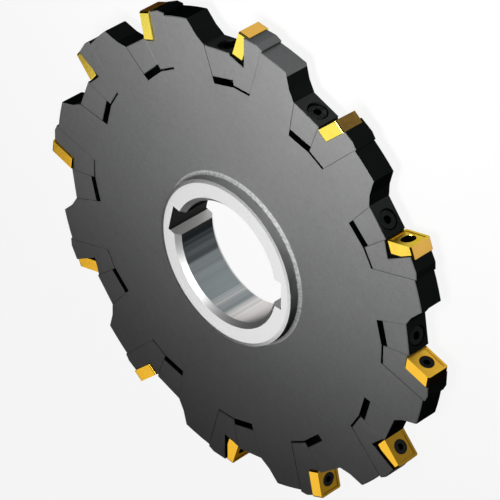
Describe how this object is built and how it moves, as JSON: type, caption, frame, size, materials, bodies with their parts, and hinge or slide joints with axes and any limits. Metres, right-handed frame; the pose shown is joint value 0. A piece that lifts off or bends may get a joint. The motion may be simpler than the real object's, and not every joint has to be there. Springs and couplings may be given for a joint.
{
  "type": "side and face milling cutter",
  "caption": "Disc milling cutter with a keyed hub bore and square coated inserts, held in wedge-clamped cartridges and staggered to either side of the rim.",
  "frame": {"origin": "centre of the bore at the lower hub face, which the cutter lies on", "axes": "+Z along the bore; +X through one keyway and one tooth station"},
  "size_m": [0.2, 0.2, 0.02],
  "materials": {
    "body_steel": "blackened steel with a ground bright hub",
    "wedge_steel": "blackened steel",
    "cartridge_steel": "blackened steel",
    "coated_carbide": "gold coloured hard coating",
    "screw_steel": "blackened steel"
  },
  "bodies": {
    "root": {"cutter_body": "body_steel", "wedge_01": "wedge_steel", "wedge_02": "wedge_steel", "wedge_03": "wedge_steel", "wedge_04": "wedge_steel", "wedge_05": "wedge_steel", "wedge_06": "wedge_steel", "wedge_07": "wedge_steel", "wedge_08": "wedge_steel", "wedge_09": "wedge_steel", "wedge_10": "wedge_steel", "wedge_11": "wedge_steel", "wedge_12": "wedge_steel", "cartridge_01": "cartridge_steel", "cartridge_02": "cartridge_steel", "cartridge_03": "cartridge_steel", "cartridge_04": "cartridge_steel", "cartridge_05": "cartridge_steel", "cartridge_06": "cartridge_steel", "cartridge_07": "cartridge_steel", "cartridge_08": "cartridge_steel", "cartridge_09": "cartridge_steel", "cartridge_10": "cartridge_steel", "cartridge_11": "cartridge_steel", "cartridge_12": "cartridge_steel", "insert_01": "coated_carbide", "insert_02": "coated_carbide", "insert_03": "coated_carbide", "insert_04": "coated_carbide", "insert_05": "coated_carbide", "insert_06": "coated_carbide", "insert_07": "coated_carbide", "insert_08": "coated_carbide", "insert_09": "coated_carbide", "insert_10": "coated_carbide", "insert_11": "coated_carbide", "insert_12": "coated_carbide", "wedge_screws": "screw_steel", "insert_screws": "screw_steel"}
  },
  "joints": []
}
